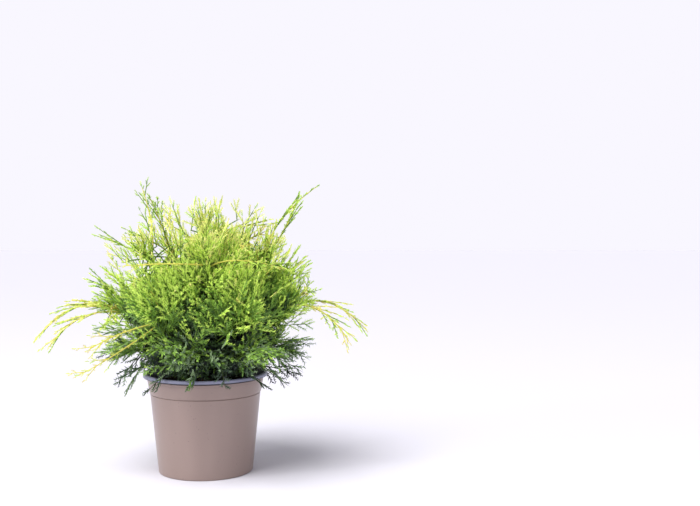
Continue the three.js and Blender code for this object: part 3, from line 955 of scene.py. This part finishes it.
def grow_shoot(shoot, stem, foliage):
    """A long shoot with sprigs along its outer part: golden where it hangs, slim where it stands."""
    rng = foliage.rng
    over, tip = (from_heart(*p) for p in shoot)
    curve = [bezier(stem, 0.7), over, tip]
    side = unit(np.cross(unit(tip - over), UP))
    hanging = shoot[1][1] < HANGING_BELOW
    golden = hanging and shoot not in STILL_GREEN
    add_limb("leader" if shoot in STILL_GREEN else "shoot", curve)
    tone = 6.0 if golden else 3.2 if hanging else 4.2
    plume(foliage, curve, side, tone, (21, 9) if hanging else (30, 5), 6, 0.3, shoot=True)
    count, last = (8, 0.88) if hanging else (5, 0.62)
    for k in range(count):
        share = lerp(0.34, last, k / (count - 1))
        root, way = branch_off(curve, share, side, rng.uniform(24, 36), k)
        way = unit(way + UP * rng.normal(0, 0.12))
        length = lerp(56, 26, share) * rng.uniform(0.8, 1.15)
        tone = rng.uniform(4.9, 6.4) - (not golden) - (hanging and not golden)
        path = arched(root, way, length, rng.uniform(-0.2, 0.02))
        plume(foliage, path, side, tone, (14, 7), 5.5, 0.2, shoot=True)


masses = crown_masses()
for shoot in SHOOTS:
    if shoot not in THIN_SHOOTS:
        over = from_heart(*shoot[0])
        owner = next(m for m in masses if in_own_space(over[None], m, 0)[0])
        owner["shoots"].append(shoot)

# Name of the piece, its tier, and which of that tier's masses it has, from one up to another
GROUPS = [
    ("sprays_skirt_left", "skirt", 0, 4),
    ("sprays_skirt_right", "skirt", 4, 7),
    ("sprays_flank_left", "flank", 0, 3),
    ("sprays_flank_right", "flank", 3, 6),
    ("sprays_shoulder_left", "shoulder", 0, 3),
    ("sprays_shoulder_right", "shoulder", 3, 5),
    ("sprays_crest", "crest", 0, 1),
]
for number, (name, tier, first, end) in enumerate(GROUPS):
    members = [m for m in masses if m["tier"] == tier][first:end]
    foliage = Foliage(900 + number)
    for mass in members:
        grow_mass(mass, foliage)
    piece = foliage.meshes().build(name, LEAVES)
    for points, tone in foliage.leaders:
        limbs["inner" if tone < INNER_TONE else "leader" if tone < GOLDEN_TONE else "golden"].append(points)
    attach(piece, "root")
    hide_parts(*[f"foliage_{m['name']}" for m in members])


# Twigs

# Stems and twigs are brown to the first share of the reach, dark green to the second, then green
BARK_DEPTH = (0.52, 0.74)
LEADER_RADII = (0.8, 0.5)
GOLDEN_RADII = (0.75, 0.45)
# Radii, sides and colour of each kind of limb
LIMB_LOOKS = {
    "stem": (STEM_RADII, 6, BROWN),
    "twig": (TWIG_RADII, 4, BROWN),
    "shoot": (SHOOT_RADII, 6, GOLD),
    "inner": (LEADER_RADII, 3, DARK),
    "leader": (LEADER_RADII, 3, GREEN),
    "golden": (GOLDEN_RADII, 3, GOLD),
}


def twig_piece():
    pile = Pile()
    for kind, (radii, sides, colour) in LIMB_LOOKS.items():
        points = np.array(limbs[kind])
        widths = np.broadcast_to(lerp(*radii, np.linspace(0, 1, points.shape[1])), points.shape[:2])
        verts, faces = tubes(points, widths, sides)
        colours = np.full(len(faces), colour)
        if kind in ("twig", "stem"):
            depth = share_of_reach(verts[faces].mean(1))
            colours = np.select([depth < BARK_DEPTH[0], depth < BARK_DEPTH[1]], [BROWN, DARK], GREEN)
        pile.add(verts, faces, colours)
    return pile


piece = twig_piece().build("twigs", TWIGS, smooth=True)
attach(piece, "root")


# Trunk and boughs with bark relief

RIDGES = (3, 5, 8)  # so many ridges round the limb, laid over one another


def bark_tube(points, radii, sides, seed, relief):
    """A tube whose radius varies in long ridges and small plates, closed at both ends."""
    rng = np.random.default_rng(seed)
    rings = len(points)
    tangent = unit(np.gradient(points, axis=0))
    helper = np.array([1.0, 0, 0]) if abs(tangent[0][2]) > 0.8 else UP
    normal = unit(np.cross(tangent, helper))
    binormal = np.cross(tangent, normal)
    turn = circle(sides)
    run = np.linspace(0, 1, rings)[:, None]
    ridges = 0
    for k in RIDGES:
        height = rng.uniform(0.3, 1)
        ridges = ridges + height * np.sin(k * turn + rng.uniform(0, 6) + rng.uniform(-3, 3) * run)
    plates = rng.normal(0, 0.6, (rings, sides))
    plates = (plates + np.roll(plates, 1, 0) + np.roll(plates, 1, 1)) / 2
    scale = 1 + relief * (ridges * 0.5 + plates * 0.5)
    spokes = normal[:, None] * np.cos(turn)[:, None] + binormal[:, None] * np.sin(turn)[:, None]
    body = points[:, None] + spokes * (radii[:, None] * scale)[..., None]
    verts = np.concatenate([body.reshape(-1, 3), points[:1], points[-1:]])
    faces = ring_faces(rings, sides)
    first, last = rings * sides, rings * sides + 1
    for j in range(sides):
        k = (j + 1) % sides
        faces.append([first, k, j])
        faces.append([last, (rings - 1) * sides + j, (rings - 1) * sides + k])
    return verts, np.array(faces)


bark = grainy_material(
    "bark",
    grain=(1.0, 6, 0.65, (260, 260, 90)),
    low=(0.3, (58, 36, 28)),
    high=(0.72, (150, 98, 74)),
    roughness=0.85,
    specular=0.2,
    strength=0.6,
    distance=0.0006,
)
TRUNK_RINGS, TRUNK_SIDES = 60, 28
BOUGH_RINGS, BOUGH_SIDES = 26, 10
t = np.linspace(0, 1, TRUNK_RINGS)
flare = np.maximum(0, 1 - t / FLARE_SHARE) ** 2 * TRUNK_FLARE
verts, faces = bark_tube(trunk_points(t), lerp(*TRUNK_RADII, t) + flare, TRUNK_SIDES, 1, 0.05)
trunk = mesh_object("trunk_bark", verts, faces, [bark], np.zeros(len(faces)), smooth=True)
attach(trunk, "root")
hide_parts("trunk")

pile = Pile()
t = np.linspace(0, 1, BOUGH_RINGS)
for mass in masses:
    points = bezier(bough_curve(mass), t)
    verts, faces = bark_tube(points, lerp(*BOUGH_RADII, t), BOUGH_SIDES, 20 + mass["number"], 0.06)
    pile.add(verts, faces, 0)
boughs = pile.build("boughs_bark", [bark], smooth=True)
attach(boughs, "root")
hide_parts(*[f"bough_{m['name']}" for m in masses])


# Pot


def lathe(name, profile, sides, materials, kinds):
    """A solid of revolution; the profile starts and ends on the axis."""
    rings = profile[1:-1]
    verts = [[r * cos(a), r * sin(a), z] for r, z in rings for a in circle(sides)]
    verts += [[0, 0, profile[0][1]], [0, 0, profile[-1][1]]]
    faces = ring_faces(len(rings), sides)
    under, inside = len(verts) - 2, len(verts) - 1
    last = (len(rings) - 1) * sides
    for j in range(sides):
        k = (j + 1) % sides
        faces += [[under, k, j], [inside, last + j, last + k]]
    numbers = [*np.repeat(kinds[1 : len(rings)], 2 * sides), *[kinds[0], kinds[-1]] * sides]
    return mesh_object(name, np.array(verts, float), np.array(faces), materials, numbers, smooth=True)


def arc(centre, radius, start, end, count):
    angles = np.radians(np.linspace(start, end, count))
    return [(centre[0] + radius * cos(a), centre[1] + radius * sin(a)) for a in angles]


LIP_SHADOW_BAND = 1.5  # the painted shadow band reaches this far below the lip, and the taupe stops there
# The third pot material is near black: painted shadow under the lip
TAUPE, SLATE, PAINTED_LIP_SHADOW = range(3)
WALL_RINGS = np.linspace(0.08, 0.99, 14)
COLLAR_RINGS = (0.25, 0.5, 0.72)
GROOVE_SHARE = 0.8
UNDERSIDE_RING = 50
FLOOR_RING = 40
CUTTER_HEIGHTS = (-4, 7)
CUTTER_SIDES = 20
POT_SIDES = 144


def pot_profile():
    """Profile points and the material number of the stretch that follows each."""
    under = POT_HEIGHT - LIP_HEIGHT
    step = STEP_RADIUS + STEP_OUT
    groove = lerp(STEP_HEIGHT, under, GROOVE_SHARE)
    lip = (LIP_RADIUS - 1.2, under + 1.3)
    wall = [(lerp(BASE_RADIUS, STEP_RADIUS, s), lerp(2, STEP_HEIGHT - 0.6, s)) for s in WALL_RINGS]
    collar = [(lerp(step, COLLAR_RADIUS, s), lerp(STEP_HEIGHT, under, s)) for s in COLLAR_RINGS]
    outside = [
        (0, 0),
        (UNDERSIDE_RING, 0),
        *arc((BASE_RADIUS - 2, 2), 2, -90, -5, 6),
        *wall,
        (STEP_RADIUS, STEP_HEIGHT - 1.3),
        (STEP_RADIUS - 0.9, STEP_HEIGHT - 1.0),
        (STEP_RADIUS - 1.0, STEP_HEIGHT - 0.1),
        (step - 0.2, STEP_HEIGHT),
        (step, STEP_HEIGHT + 0.4),
        *collar,
        (COLLAR_RADIUS - 0.72, groove),
        (COLLAR_RADIUS - 1.0, groove + 0.3),
        (COLLAR_RADIUS - 0.6, groove + 0.6),
        (COLLAR_RADIUS - 0.1, under - LIP_SHADOW_BAND),
    ]
    # Painted shadow: the lip's underside and lower rounding, and a ring of the collar under it, are near
    # black for the shade under the lip
    shadow = [
        (COLLAR_RADIUS - 0.7, under - LIP_SHADOW_BAND + 0.1),
        (COLLAR_RADIUS - 0.6, under),
        (LIP_RADIUS - 1.2, under + 0.1),
        *arc(lip, 1.2, -80, -25, 4),
    ]
    lip_and_inside = [
        *arc(lip, 1.2, -15, 0, 2),
        *arc((LIP_RADIUS - 1.8, POT_HEIGHT - 1.8), 1.8, 0, 90, 7),
        *arc((COLLAR_RADIUS + 1.2, POT_HEIGHT - 1.4), 1.4, 90, 165, 6),
        (COLLAR_RADIUS - WALL, under - 1),
        (STEP_RADIUS - WALL, STEP_HEIGHT),
        (BASE_RADIUS - WALL, FLOOR + 1),
        (BASE_RADIUS - WALL - 1, FLOOR),
        (FLOOR_RING, FLOOR),
        (0, FLOOR),
    ]
    kinds = [TAUPE] * len(outside) + [PAINTED_LIP_SHADOW] * len(shadow) + [SLATE] * len(lip_and_inside)
    return outside + shadow + lip_and_inside, kinds


SPECK = (46, 36, 32)


def plastic(name, base, darker, roughness, specks):
    """Satin moulded plastic: faint mottling, upright streaks, a few dark specks and fine bump."""
    tree = new_tree(name)
    cloudy = tree.ranged(tree.noise(14, 2), 0.2, 0.8, 0, 1)
    streaky = tree.ranged(tree.noise(24, 2, stretch=(1, 1, 0.08)), 0.3, 0.9, 0, 0.4)
    colour = tree.blend(cloudy, linear(*base), linear(*[c * 0.97 for c in base]))
    colour = tree.blend(streaky, colour, linear(*darker))
    if specks:
        spots = tree.ranged(tree.noise(750, 0), 0.845, 0.855, 0, 0.85)
        colour = tree.blend(spots, colour, linear(*SPECK))
    sheen = tree.ranged(tree.noise(40, 0), 0.2, 0.8, roughness - 0.01, roughness + 0.03)
    return tree.material(colour, sheen, 0.5, tree.bump(tree.noise(900, 3), 0.05, 0.0002))


def cut_drains(pot):
    """Cuts the drain holes through the pot's floor."""
    low, high = CUTTER_HEIGHTS
    profile = [(0, low), (DRAIN_RADIUS, low), (DRAIN_RADIUS, high), (0, high)]
    cutters = []
    for i in range(DRAIN_COUNT):
        a = 2 * pi * i / DRAIN_COUNT
        cutter = lathe(f"cutter_{i}", profile, CUTTER_SIDES, [], [0] * len(profile))
        cutter.location = (DRAIN_CIRCLE * cos(a) * MM, DRAIN_CIRCLE * sin(a) * MM, 0)
        cutters.append(cutter)
    bpy.context.view_layer.update()
    for cutter in cutters:
        hole = pot.modifiers.new("drain", "BOOLEAN")
        hole.object = cutter
        hole.solver = "EXACT"
        with bpy.context.temp_override(object=pot, active_object=pot):
            bpy.ops.object.modifier_apply(modifier=hole.name)
        bpy.data.objects.remove(cutter)


taupe = plastic("pot_taupe", (143, 124, 117), (120, 102, 95), 0.3, True)
slate = plastic("pot_slate", (124, 126, 148), (104, 106, 126), 0.34, False)
# Near-black plastic: painted shadow under the lip
painted_lip_shadow = plastic("pot_painted_lip_shadow", (36, 35, 44), (30, 29, 38), 0.6, False)
points, kinds = pot_profile()
pot = lathe("pot_shell", points, POT_SIDES, [taupe, slate, painted_lip_shadow], kinds)
cut_drains(pot)
pot.modifiers.new("normals", "WEIGHTED_NORMAL").keep_sharp = True
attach(pot, "root")
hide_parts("pot")


# Soil

SOIL_SIDES = 96
SOIL_RINGS = 40
SOIL_EDGE = SOIL_LEVEL - 2.5
SOIL_FLAT = 20.0  # radius of the level part round the trunk
WAVES = 26
WAVE_SPANS = ((0.05, 0.6), (0, 6.28), (0, 6.28), (0.1, 0.5))  # of pace, direction, start and height
CRUMBS = 900
TRUNK_CLEAR = 12.0
OCTAHEDRON = np.kron(np.eye(3), [[1], [-1]])
UPPER_FACES = [[0, 2, 4], [2, 1, 4], [1, 3, 4], [3, 0, 4]]
LOWER_FACES = [[b, a, 5] for a, b, _ in UPPER_FACES]


def soil_height(radius, outer):
    """Height of the soil, which falls a little towards the pot."""
    return lerp(SOIL_LEVEL, SOIL_EDGE, max(0, (radius - SOIL_FLAT) / (outer - SOIL_FLAT)))


def soil_piece():
    rng = np.random.default_rng(77)
    share = (SOIL_EDGE - STEP_HEIGHT) / (POT_HEIGHT - LIP_HEIGHT - STEP_HEIGHT)
    outer = lerp(STEP_RADIUS, COLLAR_RADIUS, share) - WALL - GAP
    turn = circle(SOIL_SIDES)
    waves = [[rng.uniform(*span) for span in WAVE_SPANS] for _ in range(WAVES)]
    verts = []
    for i in range(SOIL_RINGS):
        r = outer * (i + 1) / SOIL_RINGS
        for a in turn:
            x, y = r * cos(a), r * sin(a)
            z = soil_height(r, outer) - 0.6
            z += sum(h * sin(f * (x * cos(d) + y * sin(d)) + p) for f, d, p, h in waves) * 0.35
            verts.append([x, y, min(z, SOIL_LEVEL + 1.2)])
    step = (STEP_RADIUS - WALL - GAP + 0.3, STEP_HEIGHT + 1)
    base = (BASE_RADIUS - WALL - GAP, FLOOR + GAP)
    for r, z in (step, base):
        verts += [[r * cos(a), r * sin(a), z] for a in turn]
    top, under = len(verts), len(verts) + 1
    verts += [[0, 0, SOIL_LEVEL - 0.5], [0, 0, FLOOR + GAP]]
    faces = [[a, c, b] for a, b, c in ring_faces(SOIL_RINGS + 2, SOIL_SIDES)]
    last = (SOIL_RINGS + 1) * SOIL_SIDES
    for j in range(SOIL_SIDES):
        k = (j + 1) % SOIL_SIDES
        faces += [[top, j, k], [under, last + k, last + j]]
    pile = Pile()
    pile.add(np.array(verts, float), np.array(faces), 0)
    add_crumbs(pile, rng, outer)
    return pile


def add_crumbs(pile, rng, outer):
    """Loose bits of peat and bark on the soil."""
    faces = np.array(UPPER_FACES + LOWER_FACES)
    for _ in range(CRUMBS):
        r = (outer - 3) * sqrt(rng.random())
        if r < TRUNK_CLEAR:
            continue
        a = rng.uniform(0, 2 * pi)
        size = rng.uniform(0.6, 2.2) * np.array([1.6, 1, 0.6])
        spin = rng.uniform(0, 2 * pi)
        turn = np.array([[cos(spin), -sin(spin), 0], [sin(spin), cos(spin), 0], [0, 0, 1]])
        points = (OCTAHEDRON * rng.uniform(0.7, 1.2, (6, 1)) * size) @ turn.T
        place = [r * cos(a), r * sin(a), soil_height(r, outer)]
        pile.add(points + place, faces, 1 + int(rng.random() < 0.35))


def soil_material(name, dark, light):
    return grainy_material(
        name,
        grain=(320, 8),
        low=(0.35, dark),
        high=(0.7, light),
        roughness=0.95,
        specular=0.15,
        strength=0.7,
        distance=0.001,
    )


peat = soil_material("peat", (22, 18, 15), (50, 41, 34))
dark_crumb = soil_material("crumb_dark", (30, 23, 18), (62, 49, 38))
bark_crumb = soil_material("crumb_bark", (58, 42, 31), (100, 77, 58))
soil = soil_piece().build("soil_top", [peat, dark_crumb, bark_crumb])
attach(soil, "root")
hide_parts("soil")


# Floor, light and camera, in metres

FLOOR_HALF = 9
floor_corners = [(x * FLOOR_HALF, y * FLOOR_HALF, 0) for x, y in ((-1, -1), (1, -1), (1, 1), (-1, 1))]
floor_mesh = bpy.data.meshes.new("floor")
floor_mesh.from_pydata(floor_corners, [], [(0, 1, 2, 3)])
floor_mesh.materials.append(plain_material("floor_white", (218, 216, 224), 0.9, 0.0))
floor = placed("floor", floor_mesh)

world = bpy.data.worlds.new("studio")
bpy.context.scene.world = world
sky = Tree(world)
way_up = sky.add("SeparateXYZ", Vector=sky.add("TexCoord").outputs["Generated"])
fade = sky.ramp(way_up.outputs["Z"], (0.3, (249, 247, 255)), (0.75, (150, 150, 156)))
sky.put(sky.nodes["Background"].inputs["Color"], fade)
sky.put(sky.nodes["Background"].inputs["Strength"], 1.0)


def aimed(name, data, place, target):
    light = placed(name, data)
    light.location = place
    light.rotation_euler = (Vector(target) - Vector(place)).to_track_quat("-Z", "Y").to_euler()


def area_light(name, place, target, size, power, colour=(1, 1, 1)):
    data = bpy.data.lights.new(name, "AREA")
    data.shape = "RECTANGLE"
    data.size, data.size_y = size
    data.energy = power
    data.color = colour
    aimed(name, data, place, target)


wide = bpy.data.lights.new("wide", "SUN")
wide.energy = 2.9
wide.angle = radians(35)
aimed("wide", wide, (-0.5, -0.6, 1.7), (0, 0, 0))
area_light("key", (-0.9, -1.3, 1.7), (0, 0, 0.25), (0.8, 0.8), 14, (1.0, 0.985, 0.96))
area_light("left_strip", (-1.6, -0.8, 0.5), (0, 0, 0.15), (0.22, 1.2), 12)
area_light("right_strip", (1.15, -1.2, 0.3), (0, 0, 0.1), (0.1, 1.0), 2.4)

LOOKING_DOWN = 2.07
camera_data = bpy.data.cameras.new("camera")
camera_data.lens = 52.2
camera_data.sensor_width = 36
camera = placed("camera", camera_data)
camera.location = (0.199, -1.393, 0.35)
camera.rotation_euler = (radians(90 - LOOKING_DOWN), 0, 0)
bpy.context.scene.camera = camera
bpy.context.scene.view_settings.view_transform = "Standard"
